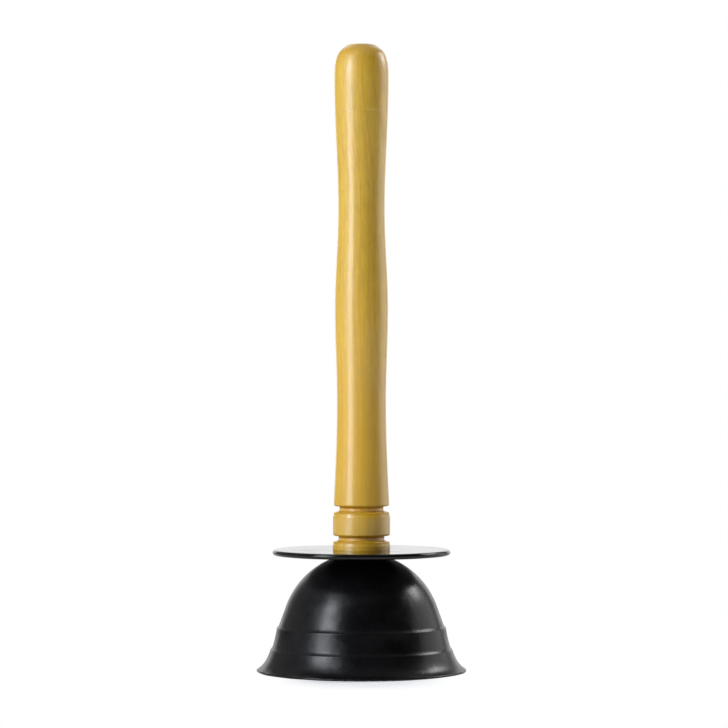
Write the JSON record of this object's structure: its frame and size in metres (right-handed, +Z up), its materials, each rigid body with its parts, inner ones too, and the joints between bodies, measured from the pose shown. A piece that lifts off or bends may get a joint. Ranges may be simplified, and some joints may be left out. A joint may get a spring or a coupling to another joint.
{
  "type": "toilet plunger",
  "caption": "Short cup plunger: turned wooden grip handle, round guard plate and a flared, stepped rubber cup, joined by a screw and washer.",
  "frame": {"origin": "centre of the lip circle, on the floor the plunger stands on", "axes": "+Z up the handle from the lip of the cup; X and Y are free, since every piece is round"},
  "size_m": [0.1, 0.1, 0.2996],
  "materials": {
    "lacquered_wood": "turned light wood, honey yellow under a clear gloss lacquer",
    "black_plastic": "polished black moulding",
    "black_rubber": "satin black, straight from the mould",
    "zinc_plated_steel": "bright zinc plating"
  },
  "bodies": {
    "cup": {"rubber_cup": "black_rubber"},
    "handle_assembly": {"handle": "lacquered_wood", "guard_plate": "black_plastic", "clamp_washer": "zinc_plated_steel", "wood_screw": "zinc_plated_steel"}
  },
  "joints": [
    {"name": "plunge_stroke", "type": "slide", "parent": "cup", "child": "handle_assembly", "axis": [0, 0, -1], "range_m": [-0.004, 0.025], "stiffness_N_per_m": 3000, "deforming": ["rubber_cup"]}
  ]
}
